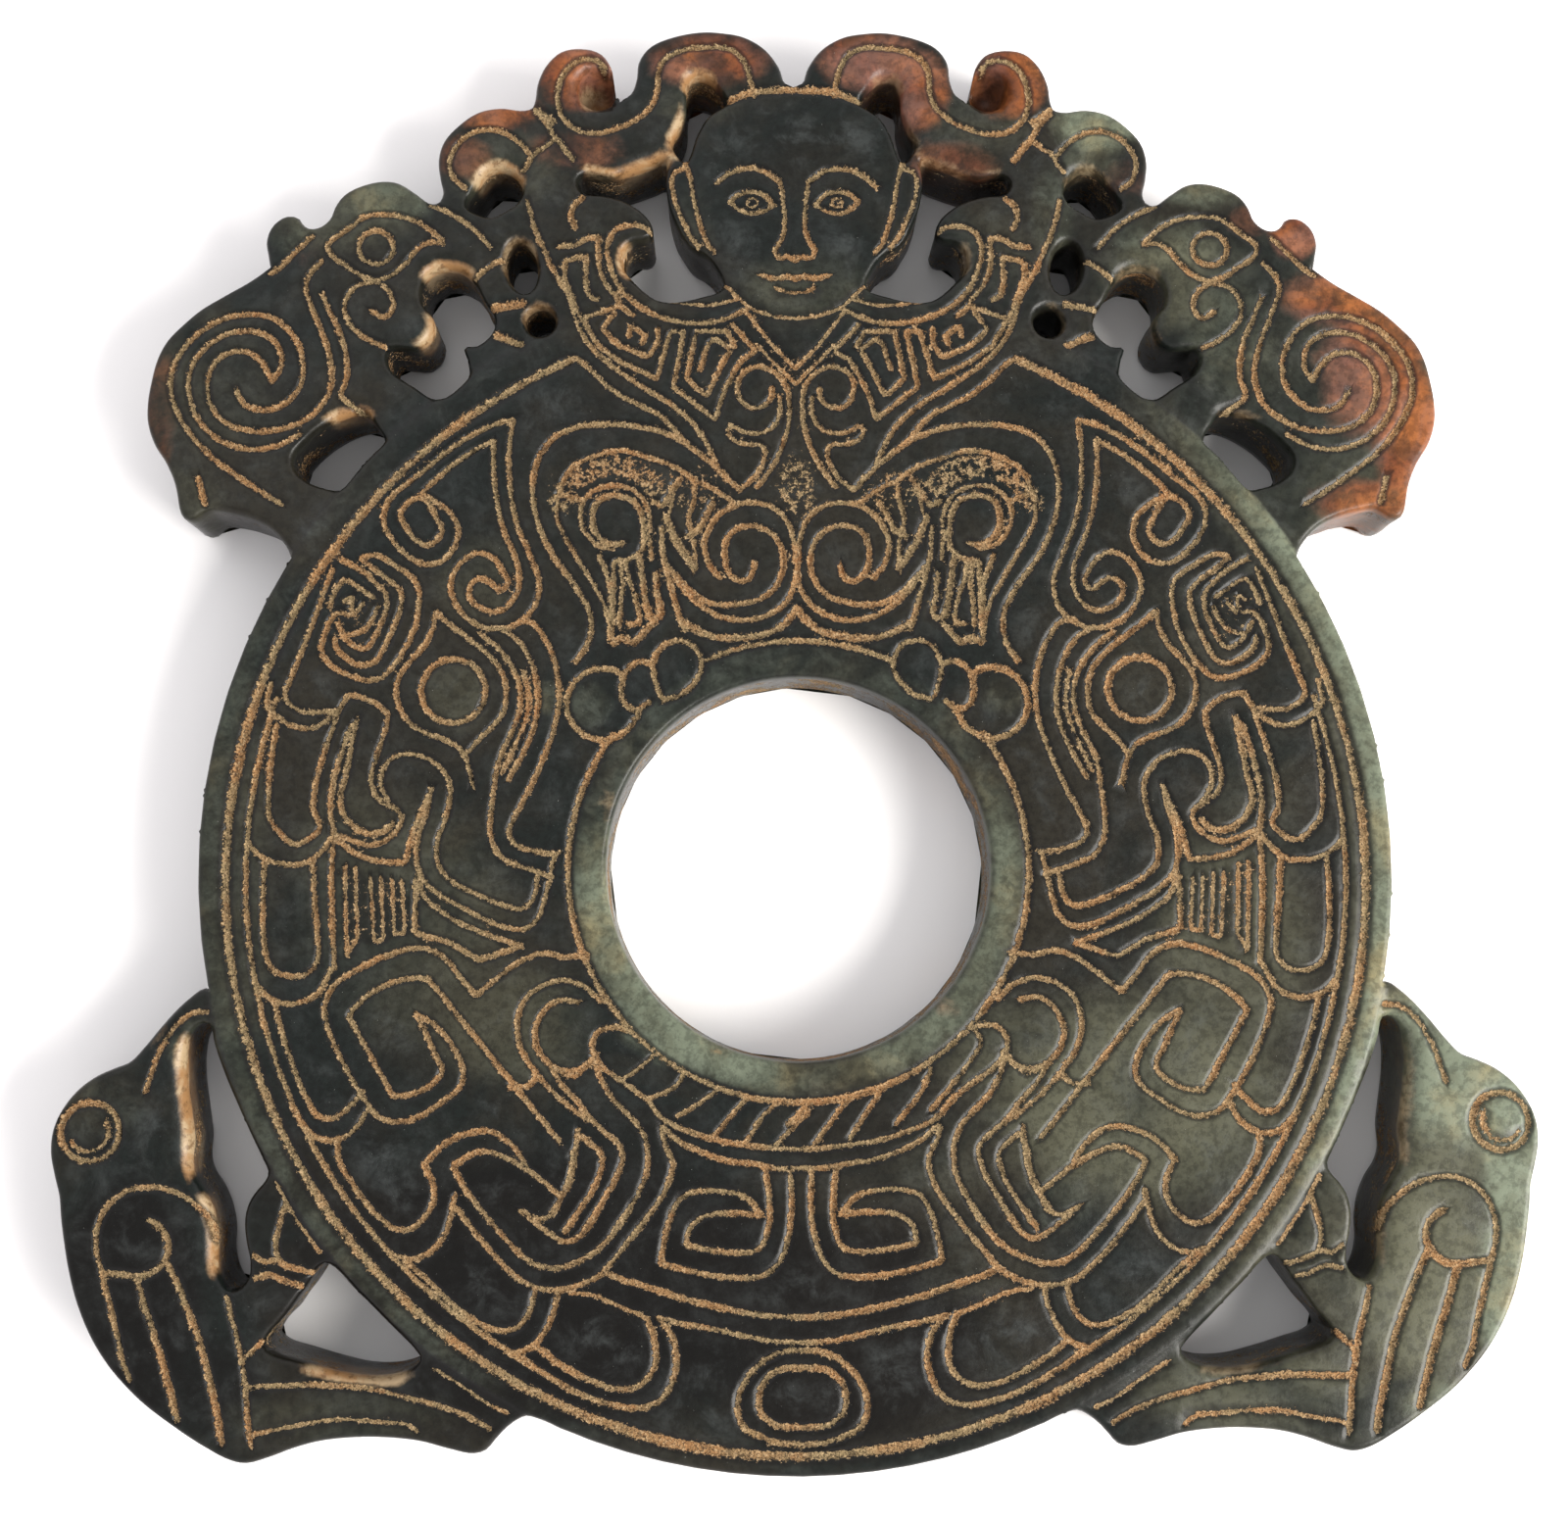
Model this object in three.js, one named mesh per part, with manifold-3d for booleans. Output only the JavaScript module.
// Carved stone disc with a round hole, framed at the top and the lower corners by openwork figures.
// It lies flat, carved face up. Millimetres, +Z up, the figure's head towards +Y.
import * as THREE from 'three';
import { mergeVertices } from 'three/addons/utils/BufferGeometryUtils.js';
import Module from 'manifold-3d';

// Main sizes
const slabThickness = 13;
const discRadius = 80;
const boreRadius = 25.8;
const boreY = -1.1;
const discOverlap = 0.5; // how far the figures run in past the disc rim

// Cut lines: a V of one width and depth
const lineDepth = 0.6;
const lineWidth = 1.2;
const bendTolerance = 0.64; // how far a cut line may leave its true bend
const edgeTolerance = 0.22; // the same for the outline and the openings

// Rings on the disc
const rimLineRadius = 76.5;
const innerLineRadius = 73.8;
const holeLineRadius = 30.9;
const ringY = -1.2;
const rimStepRadius = 80.3;

const wasm = await Module();
wasm.setup();

// Points of a smooth bend through the given ones, thinned to those the bend needs
function thin(points, tolerance) {
  if (points.length < 3) return points;
  const first = points[0];
  const last = points[points.length - 1];
  const along = last.clone().sub(first);
  const length = along.length();
  let far = 0;
  let split = 0;
  for (let i = 1; i < points.length - 1; i += 1) {
    const off = points[i].clone().sub(first);
    const gap = length < 0.001 ? off.length() : Math.abs(off.cross(along)) / length;
    if (gap > far) {
      far = gap;
      split = i;
    }
  }
  if (far < tolerance) return [first, last];
  const head = thin(points.slice(0, split + 1), tolerance);
  const tail = thin(points.slice(split), tolerance);
  return [...head.slice(0, -1), ...tail];
}

function bend(points, tolerance, closed = false) {
  const knots = points.map(([x, y]) => new THREE.Vector3(x, y, 0));
  const curve = new THREE.CatmullRomCurve3(knots, closed, 'centripetal');
  const fine = curve.getPoints(points.length * 8).map((p) => new THREE.Vector2(p.x, p.y));
  return thin(fine, tolerance);
}

const cut = (...points) => [bend(points, bendTolerance)];
const edge = (...points) => bend(points, edgeTolerance);

// Straight cuts with sharp corners: each leg is a cut of its own, a little longer than its ends
function legs(...points) {
  const over = lineWidth / 4;
  return points.slice(1).map(([x, y], i) => {
    const from = new THREE.Vector2(...points[i]);
    const to = new THREE.Vector2(x, y);
    const step = to.clone().sub(from).setLength(over);
    return [from.sub(step), to.add(step)];
  });
}

// Arc or spiral cut: the radius runs evenly from r0 to r1 while the angle runs from a0 to a1 degrees
function sweep(x, y, r0, a0, r1, a1, stepAngle = 24) {
  const count = Math.ceil(Math.abs(a1 - a0) / stepAngle);
  const points = [];
  for (let i = 0; i <= count; i += 1) {
    const part = i / count;
    const angle = THREE.MathUtils.degToRad(a0 + (a1 - a0) * part);
    const radius = r0 + (r1 - r0) * part;
    points.push(new THREE.Vector2(x + radius * Math.cos(angle), y + radius * Math.sin(angle)));
  }
  return [points];
}

const mirrored = (points) => points.map((p) => new THREE.Vector2(-p.x, p.y));

// Solids

function solidOf(geometry) {
  geometry.deleteAttribute('normal');
  geometry.deleteAttribute('uv');
  const merged = mergeVertices(geometry, 1e-4);
  return new wasm.Manifold(new wasm.Mesh({
    numProp: 3,
    vertProperties: new Float32Array(merged.attributes.position.array),
    triVerts: new Uint32Array(merged.index.array),
  }));
}

function plate(points, bottom, top) {
  const geometry = new THREE.ExtrudeGeometry(new THREE.Shape(points), {
    depth: top - bottom,
    bevelEnabled: false,
  });
  geometry.translate(0, 0, bottom);
  return solidOf(geometry);
}

// A path whose bends are exactly the given points
class CutPath extends THREE.Curve {
  constructor(points, level) {
    super();
    this.stops = points.map((p) => new THREE.Vector3(p.x, p.y, level));
  }

  getSpacedPoints() {
    return this.stops;
  }

  getTangentAt(part) {
    const last = this.stops.length - 1;
    const i = Math.round(part * last);
    const before = this.stops[Math.max(i - 1, 0)];
    const here = this.stops[i];
    const after = this.stops[Math.min(i + 1, last)];
    const incoming = here.clone().sub(before).normalize();
    const outgoing = after.clone().sub(here).normalize();
    return incoming.add(outgoing).normalize();
  }
}

function vCutter(points, level) {
  const section = new THREE.Shape([
    new THREE.Vector2(lineDepth, 0),
    new THREE.Vector2(0, lineWidth / 2),
    new THREE.Vector2(0, -lineWidth / 2),
  ]);
  return solidOf(new THREE.ExtrudeGeometry(section, {
    steps: points.length - 1,
    extrudePath: new CutPath(points, level),
  }));
}

// Upright round blank over (0, y)
function roundBlank(radius, sides, height, y) {
  const geometry = new THREE.CylinderGeometry(radius, radius, height, sides);
  geometry.rotateX(Math.PI / 2);
  geometry.translate(0, y, slabThickness / 2);
  return geometry;
}

function ringCutter([x, y, r], level) {
  const geometry = new THREE.TorusGeometry(r, lineDepth, 4, 14);
  geometry.translate(x, y, level);
  return solidOf(geometry);
}

// A hollow scooped out of the face by a round tool
function scoop([x, y, r], level) {
  const geometry = new THREE.SphereGeometry(r, 12, 8);
  geometry.scale(1, 1, 1.9);
  geometry.translate(x, y, level);
  return solidOf(geometry);
}

// Outline of the figures, right half; the left half is its mirror image

const crestEdge = [
  ...edge([0, 108.3], [1.5, 109], [2.3, 111.2], [4.2, 113.8], [7, 115.5], [13, 116.2],
    [17, 115.4], [20, 114], [21.4, 112], [22, 108.5], [24.4, 105.9]),
  ...edge([24.4, 105.9], [25.3, 108], [25.9, 111.2], [27.3, 113.1], [30, 113.7],
    [32.5, 113.2], [34.5, 111.3], [35.6, 108.8], [36.5, 105.2], [38, 104.8], [41, 105.1],
    [44, 104.5], [46.5, 102.8], [48.6, 100.4], [49.3, 97.8], [48.6, 93], [49.3, 91.5],
    [50.8, 91.3], [55.3, 94.2], [57.5, 94.4], [62.4, 92.5], [65.6, 87.9], [67.3, 87.6],
    [69.1, 89.2], [70.5, 89.3], [72.2, 88], [72.9, 86], [72.3, 82.2]).slice(1),
];
const beastEdge = [
  ...edge([72.3, 82.2], [75, 80.1], [81.7, 76], [86.3, 71.5], [88.2, 66], [88.5, 60.3],
    [85.9, 54.8], [84.6, 51.8], [83.9, 48]),
  ...edge([83.9, 48], [82.4, 46.9], [80, 48.3], [74, 47], [71.5, 45.6], [68.6, 41.4]).slice(1),
];
const birdEdge = edge([78.2, -17], [80.6, -18.1], [86.5, -24.6], [88.4, -26.6], [93, -28.6],
  [97, -32.6], [98.3, -38], [97, -43.6], [96.2, -49.6], [94.2, -57.6], [89.6, -65.8],
  [81.8, -72.7], [74.4, -77.1], [72.2, -77.6], [66.2, -75.8], [58, -74.5], [49.6, -75.1],
  [42.9, -76.7], [41.3, -76.3], [39, -73.8], [36, -72], [31.4, -73.6]);

// Openings between the figures, right half
const openings = [
  // between the head and the crest scroll
  [[9.3, 106.2], [12.5, 109.9], [14.2, 109.9], [15.1, 105], [17, 100], [15, 97.6],
    [13.6, 101.2]],
  // beside the cheek, round the curled hand
  [[18, 97.9], [23, 96.1], [29.3, 95.7], [29.6, 93], [23.5, 91.6], [20, 88.6], [20.5, 86.3],
    [22.3, 86], [23.6, 82.3], [21, 78.8], [16, 77.4], [10.2, 79], [10.6, 81.6],
    [14.5, 85.3], [17.3, 90.5]],
  // under the fist scroll
  [[37.8, 93], [38.5, 95.2], [40.5, 96.6], [42.6, 96.2], [45.7, 91], [42.2, 89.5]],
  // the beast's mouth
  [[42.9, 77.4], [46.4, 82], [51, 81], [51.5, 76.9], [49.8, 73.6], [52.2, 70.8],
    [55.9, 70.8], [55.5, 67.3], [50.2, 63.7], [46.4, 65], [45.2, 69], [44, 71.1], [41.5, 74]],
  // between the beast's foot and the disc
  [[56.4, 57.6], [59.2, 61.6], [64.3, 60.1], [68.8, 55.7], [66.8, 51.9], [62.3, 50.8]],
  // between the bird's breast and the disc
  [[78.3, -21.5], [79.5, -21.4], [81.4, -25.6], [80.2, -36.5], [80.3, -39.6], [77.3, -46],
    [76.7, -52], [74.9, -56], [72.3, -54.2], [73, -47.2], [70.1, -40.9], [74.2, -32.2],
    [77.5, -24.2]],
  // over the bird's tail
  [[62.4, -52.6], [69.8, -61.9], [69.2, -64], [62, -66.2], [54, -67.1], [49.8, -65],
    [54, -60.3]],
  // the slanted hole behind the beast's mouth
  [[38.3, 86.2], [40, 84.5], [39.8, 80.9], [37.5, 78.7], [35.8, 80], [36.1, 83.9]],
];
const pinHole = [35.2, 74.5, 2.1];
const scoops = [
  [27.3, 108.3, 3.1],
  [21.4, 83.3, 2.5],
];

// Cut lines, right half

// the head: brow, eye, nose and mouth in calm regular proportions, and the ear
const chinY = 74.8;
const eyeY = 91.2;
const eyeX = 5.7;
const eyeHalf = 2.8;
const noseY = 83.2;
const mouthY = 80.2;
const headLines = [
  ...cut([0, 107.9], [5, 107.6], [9, 106.2]),
  ...cut([0, noseY], [1.1, noseY + 0.3], [2.4, noseY + 0.6], [1.5, eyeY - 3.4], [1.6, eyeY + 1.6],
    [eyeX - 1.4, eyeY + 4.9], [eyeX + 1.4, eyeY + 5.1], [eyeX + 4.2, eyeY + 3.4]),
  ...cut([eyeX - eyeHalf, eyeY], [eyeX, eyeY + 1.7], [eyeX + eyeHalf, eyeY + 0.4]),
  ...cut([eyeX - eyeHalf, eyeY], [eyeX, eyeY - 1.5], [eyeX + eyeHalf, eyeY + 0.4]),
  ...cut([0, mouthY], [2, mouthY + 0.4], [4.6, mouthY]),
  ...cut([0, chinY], [6.4, 76.4], [9.6, 79.4]),
  ...cut([15.2, 97.3], [14, 91.8], [12.1, 85.4]),
  ...cut([15.2, 96.4], [17.1, 94.4], [15.4, 88.5], [13.2, 85]),
];

// scrolls of the crest, and the curled hand under them
const crestLines = [
  ...cut([5.6, 107], [6.7, 111.4], [10.2, 114.1], [16, 113.5], [19, 110], [20.2, 105],
    [25, 102], [30.5, 102], [33, 107], [30.3, 111.9], [26.5, 111.2]),
  ...cut([36.5, 98], [40.9, 101.8], [46, 100.9], [48, 96.8], [45.8, 93.6]),
  ...cut([6.3, 76.4], [12, 74.2], [20.8, 76], [25.7, 82.6], [25.1, 87.2], [20, 87.2]),
];

// square frets on the breast and the bands that run from the shoulders down on to the disc
const breastLines = [
  ...legs([8.8, 74], [5.4, 70.2], [9, 66.3], [11, 60.4], [16.9, 65.1], [15.4, 73], [17.2, 73],
    [19.1, 66.2], [27.2, 70.9], [29.4, 74.6]),
  ...cut([3.3, 64.9], [4.6, 62.3], [7.6, 63.2], [7.2, 67.1], [2.9, 67.2], [0.9, 62.5],
    [2, 56.5], [5.4, 51]),
  ...cut([7.8, 50.5], [16, 57.6], [26, 59.8], [34.9, 55.8], [35.9, 49], [32, 39.7], [28, 31],
    [30, 26.8]),
  ...cut([11, 54.3], [14.4, 60.2], [24.5, 67.4], [29.4, 72.6], [33, 80.8], [37.2, 92]),
];

// the mask on the disc: bridge, brows, eyes and the claws beside them
const maskLines = [
  ...cut([8.6, 48.9], [14, 52], [20, 55], [24, 56], [31, 53.4], [32.8, 47.2], [29.8, 41.2],
    [25.6, 33.2]),
  ...cut([5.9, 40], [8, 37.9], [9.9, 41.5], [6, 45.6], [1.8, 40.5], [6.5, 35], [12.6, 35.2],
    [16.6, 38.9]),
  ...cut([0.2, 40.5], [1.3, 46.2], [6.2, 48.8], [11.8, 45.7], [12, 40.2], [10.4, 38.3]),
  ...cut([19.2, 39], [18.5, 33.2], [20.5, 34.4], [21.6, 41.7], [24.8, 40.8], [25.1, 31.8]),
  ...cut([25.2, 42.4], [29.5, 46.6], [25, 51.2], [20.1, 46.8], [19.8, 40.8]),
  ...cut([18.1, 21.6], [14.3, 23.6], [13.3, 27.8], [16.6, 29.7], [19.5, 26.6], [18.5, 22]),
  ...sweep(26.4, 21.1, 4.9, 195, 4.8, 480, 36),
];

// panels beside the hole
const panelLines = [
  ...cut([54.9, 50.1], [45.2, 57.8], [38.8, 60.5]),
  ...cut([38.8, 60.5], [39, 50], [35.1, 38], [39.2, 31.6], [44.8, 32.9], [47, 38],
    [43.2, 41.9], [40.2, 39.8]),
  ...cut([44.7, 14.3], [39.7, 20], [40, 25.5], [49, 33.8]),
  ...cut([49, 33.8], [50.6, 28.9], [54, 24.5], [52.7, 19], [45.7, 15.2], [43.8, 10.2]),
  ...cut([39.2, 31.6], [34.6, 30.6], [32.3, 21], [36, 9.8], [38.9, 3.8], [32.4, 0.8]),
  ...cut([54.9, 50.1], [56.2, 46.2], [52, 40.8], [46.6, 42.6], [46.8, 46.9], [51.2, 50.1]),
  ...cut([59.2, 41.1], [52.2, 38.5], [51.8, 31.6], [56.1, 24.8], [62.8, 26.3], [64.1, 30.2],
    [61, 33.4]),
];

// snout beside the hole, with its folded lip and teeth
const snoutLines = [
  ...cut([60.6, 22.4], [55.3, 19.8], [57.3, 11.5], [53.2, 5.8], [57.2, 2.1], [62.3, 3.8]),
  ...cut([60.6, 22.4], [62.7, 7], [62.4, -3], [61.6, -13]),
  ...cut([53.4, 6.4], [55.9, 11.8], [50.5, 14], [46.9, 10.5], [48.5, 0.5], [43, -4.5],
    [37, -6.5], [35, -2]),
  ...cut([49.4, 9.3], [51.1, 0], [46, -5.7], [37, -9.2], [32.6, 1]),
  ...legs([37, -11.4], [42.6, -13.3], [51.2, -9.6], [51.2, -2.6]),
  ...cut([28.2, -12.6], [37, -13.3], [43, -17.9]),
  ...cut([43, -17.9], [48.7, -12], [53.5, -12.1], [62, -16.8], [62.5, -22], [57.2, -31.9],
    [50.5, -33.8], [44.5, -28.4], [50.8, -20.4]),
];

// feathers along the rim
const featherLines = [
  ...cut([70.1, 18.2], [71, 9], [67.3, 2.3], [64, 4.6], [64.7, 10.4], [62.7, 17.6]),
  ...cut([71.3, -0.2], [71.1, -11], [65.6, -15], [64.2, -9], [64.9, -0.4]),
  ...cut([62.2, 20.2], [69.1, 22.4], [63, 39.6]),
  ...cut([69.5, -18.6], [65.3, -30.8], [61.5, -33.9], [57.7, -30.4]),
  ...cut([34.9, -56.4], [39.6, -61.3], [46.2, -57.4], [52.2, -52]),
];

// rope band, knees, claws and the drop at the foot of the disc
const lowerLines = [
  ...cut([0, -38.4], [10.5, -37.2], [18, -34.4], [26.3, -27.3], [27.6, -25], [22.7, -22.7]),
  ...cut([0, -40.8], [9.5, -39.8], [18.4, -35.2], [16.9, -40], [22, -49.4]),
  ...legs([31.9, -37], [49.4, -15.6]),
  ...cut([49.4, -15.6], [56, -17], [59.8, -20.5]),
  ...legs([59.8, -20.5], [53.8, -31]),
  ...cut([53.8, -31], [47.3, -27.8], [50.8, -20.4]),
  ...cut([26.4, -18.8], [31, -16], [37.5, -21.4], [34.8, -28.4], [38.4, -30]),
  ...cut([36.2, -40], [41, -35.7], [46.8, -37.2], [49.6, -40]),
  ...cut([31.6, -44.2], [38.6, -39.3], [45.8, -40.1], [38.6, -49.8], [33.2, -53.4],
    [22.4, -46]),
  ...cut([1.4, -41], [1.8, -50], [5, -54.6], [18.5, -52.9]),
  ...cut([0, -60], [15, -57.6], [26, -54]),
  ...cut([0, -64.2], [8.5, -71.5], [5.2, -75.2], [0, -76.2]),
  ...cut([18.6, -60], [16.9, -68], [21.2, -71.3], [37.6, -64.2]),
];

// the beast on the shoulder: eye, ear and coiled haunch
const beastLines = [
  ...cut([48.7, 85.7], [56, 89.7], [64.7, 85.2], [57.8, 80.4], [48.7, 85.7]),
  ...cut([58.2, 80.1], [62.2, 76], [56.6, 70.8]),
  ...cut([71.9, 66], [76.6, 70.2], [80.7, 65.5], [76.8, 59.5], [68, 60.1], [63.7, 67],
    [67.6, 79.6], [65.4, 83]),
  ...cut([76.6, 64.3], [71.4, 62.1], [67.7, 68.2], [74.6, 75.4], [83.1, 71.7], [85.5, 63.9],
    [79.8, 55.3], [70.2, 48.7]),
];

// the bird in the lower corner: eye, breast, wing and tail
const birdLines = [
  ...sweep(93.4, -35.4, 3.9, 100, 3.7, 340, 40),
  ...cut([76.7, -49.5], [85.1, -42.6], [92, -47.6], [87.2, -67.2]),
  ...cut([90.6, -53.6], [86.4, -54], [82.9, -51.4], [85.4, -46.9]),
  ...cut([83, -52.2], [77.8, -64.2], [75.2, -75.2]),
  ...cut([86.7, -54.4], [81, -72.2]),
  ...cut([75, -56.8], [71.6, -75]),
  ...cut([40.6, -73.8], [52, -69.6], [72.4, -68.3]),
];

const ringLines = [
  ...sweep(0, ringY, rimLineRadius, -90, rimLineRadius, 66, 9),
  ...sweep(0, ringY, innerLineRadius, -60, innerLineRadius, 18, 10),
  ...sweep(0, ringY, holeLineRadius, -90, holeLineRadius, 36, 13),
  ...sweep(0, ringY, holeLineRadius, 65, holeLineRadius, 90, 13),
  // edge of the disc where figures join it
  ...sweep(0, 0, rimStepRadius, 31, rimStepRadius, 65, 9),
  ...sweep(0, 0, rimStepRadius, -31, rimStepRadius, -40, 9),
  ...sweep(0, 0, rimStepRadius, -53, rimStepRadius, -66, 9),
];

const rings = [
  [46.5, 22.8, 4.35],
  [58, 84.9, 2.4],
];

const lines = [
  headLines, crestLines, breastLines, maskLines, panelLines, snoutLines,
  featherLines, lowerLines, beastLines, birdLines, ringLines,
].flat();

// The figures' outlines, each closed by an arc that lies hidden inside the disc

const insideRadius = discRadius - discOverlap;

function insideArc(from, to) {
  return sweep(0, 0, insideRadius, from, insideRadius, to, 10)[0];
}

const angleOf = (point) => THREE.MathUtils.radToDeg(Math.atan2(point.y, point.x));
const rightTop = [...crestEdge, ...beastEdge.slice(1)];
const topStart = angleOf(rightTop[rightTop.length - 1]);
const birdStart = angleOf(birdEdge[0]);
const birdEnd = angleOf(birdEdge[birdEdge.length - 1]);

const topOutline = [
  ...mirrored(rightTop).reverse().slice(0, -1),
  ...rightTop,
  ...insideArc(topStart, 180 - topStart),
].reverse();
const birdOutline = [...birdEdge, ...insideArc(birdEnd, birdStart)].reverse();

let slab = solidOf(roundBlank(discRadius, 72, slabThickness, 0));
slab = slab.add(plate(topOutline, 0, slabThickness));
slab = slab.add(plate(birdOutline, 0, slabThickness));
slab = slab.add(plate(mirrored(birdOutline).reverse(), 0, slabThickness));
slab = slab.subtract(solidOf(roundBlank(boreRadius, 44, slabThickness * 3, boreY)));

for (const knots of openings) {
  const rim = bend(knots, edgeTolerance, true).slice(0, -1);
  slab = slab.subtract(plate(rim, -1, slabThickness + 1));
  slab = slab.subtract(plate(mirrored(rim).reverse(), -1, slabThickness + 1));
}
for (const side of [1, -1]) {
  const [pinX, pinY, pinR] = pinHole;
  const pin = roundBlank(pinR, 16, slabThickness * 3, pinY);
  pin.translate(side * pinX, 0, 0);
  slab = slab.subtract(solidOf(pin));
  for (const [x, y, r] of scoops) slab = slab.subtract(scoop([side * x, y, r], slabThickness));
}

const cutters = [];
for (const line of lines) {
  cutters.push(vCutter(line, slabThickness));
  cutters.push(vCutter(mirrored(line), slabThickness));
}
for (const side of [1, -1]) {
  for (const [x, y, r] of rings) cutters.push(ringCutter([side * x, y, r], slabThickness));
}
slab = slab.subtract(cutters.reduce((all, cutter) => all.add(cutter)));

// Back to a three.js mesh, centred over the middle of the underside

function geometryOf(solid) {
  const mesh = solid.getMesh();
  const geometry = new THREE.BufferGeometry();
  geometry.setAttribute('position', new THREE.BufferAttribute(mesh.vertProperties, 3));
  geometry.setIndex(new THREE.BufferAttribute(mesh.triVerts, 1));
  return geometry;
}

const stone = new THREE.MeshStandardMaterial({ color: 0x2b322c, roughness: 0.38, metalness: 0 });
const discGeometry = geometryOf(slab);
discGeometry.computeBoundingBox();
const box = discGeometry.boundingBox;
discGeometry.translate(0, -(box.min.y + box.max.y) / 2, 0);
discGeometry.computeVertexNormals();

const jade = new THREE.Mesh(discGeometry, stone);
jade.name = 'jade_bi_disc';

const group = new THREE.Group();
group.add(jade);

export default group;
